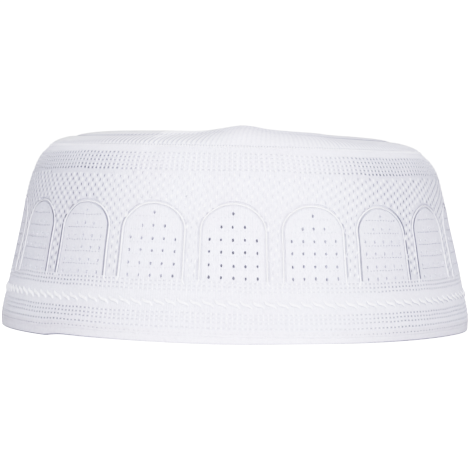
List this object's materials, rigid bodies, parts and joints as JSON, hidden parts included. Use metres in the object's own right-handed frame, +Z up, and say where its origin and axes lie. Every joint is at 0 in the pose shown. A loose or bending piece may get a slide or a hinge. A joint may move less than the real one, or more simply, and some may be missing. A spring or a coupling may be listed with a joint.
{
  "type": "prayer cap",
  "caption": "Round flat-topped knitted cap with a tall openwork side wall, a row of raised-cord arches and a folded hem.",
  "frame": {"origin": "centre of the cap's bounding box, at the bottom of the hem that it stands on", "axes": "+Z up from the open hem to the closed top; -Y is the front of the cap, in line with the crease that runs over the top; +X is the cap's left as it is worn"},
  "size_m": [0.188, 0.1882, 0.0791],
  "materials": {
    "knit": "white machine-knitted cotton, matt",
    "hem": "white plain-knitted folded hem, matt",
    "satin_cord": "white satin-stitched thread with a soft sheen"
  },
  "bodies": {
    "root": {"side_band": "knit", "top_panel": "knit", "hem_band": "hem", "arch_cord_01": "satin_cord", "arch_cord_02": "satin_cord", "arch_cord_03": "satin_cord", "arch_cord_04": "satin_cord", "arch_cord_05": "satin_cord", "arch_cord_06": "satin_cord", "arch_cord_07": "satin_cord", "arch_cord_08": "satin_cord", "arch_cord_09": "satin_cord", "arch_cord_10": "satin_cord", "arch_cord_11": "satin_cord", "arch_cord_12": "satin_cord", "arch_cord_13": "satin_cord", "arch_cord_14": "satin_cord", "arch_cord_15": "satin_cord", "arch_cord_16": "satin_cord", "arch_cord_17": "satin_cord", "arch_cord_18": "satin_cord"}
  },
  "joints": []
}
